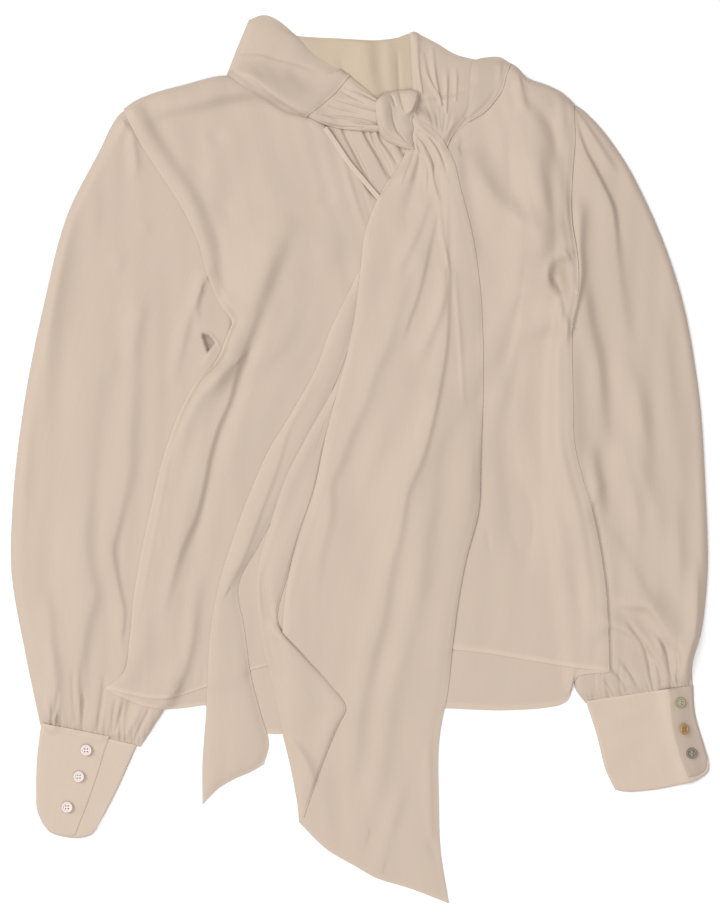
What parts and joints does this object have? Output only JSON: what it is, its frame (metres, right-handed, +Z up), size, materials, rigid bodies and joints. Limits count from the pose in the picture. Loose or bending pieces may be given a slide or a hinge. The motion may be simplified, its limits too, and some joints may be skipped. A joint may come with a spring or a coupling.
{
  "type": "tie-neck blouse",
  "caption": "Long balloon-sleeved blouse lying flat, with a standing neckband knotted into a long scarf tie and deep buttoned cuffs.",
  "frame": {"origin": "on the surface it lies on, under the middle of the laid-out blouse", "axes": "+Z up out of the front, +Y towards the collar, +X towards the sleeve on the viewer's right"},
  "size_m": [0.6624, 0.8389, 0.0212],
  "materials": {
    "cloth": "ivory satin-backed crepe, soft sheen",
    "shell_pale": "pale trocas shell, polished",
    "shell_grey": "smoked shell, polished"
  },
  "bodies": {
    "root": {"back": "cloth", "front": "cloth", "slit_binding": "cloth", "neckband_back": "cloth", "neckband_left": "cloth", "neckband_right": "cloth", "tie_left": "cloth", "tie_right": "cloth", "knot": "cloth", "tail_under": "cloth", "tail_over": "cloth", "tail_turnback": "cloth", "sleeve_left": "cloth", "sleeve_right": "cloth", "cuff_left": "cloth", "cuff_left_lap": "cloth", "cuff_right": "cloth", "cuff_right_lap": "cloth", "button_left_1": "shell_pale", "button_left_2": "shell_pale", "button_left_3": "shell_pale", "button_right_1": "shell_grey", "button_right_2": "shell_grey", "button_right_3": "shell_grey"}
  },
  "joints": []
}
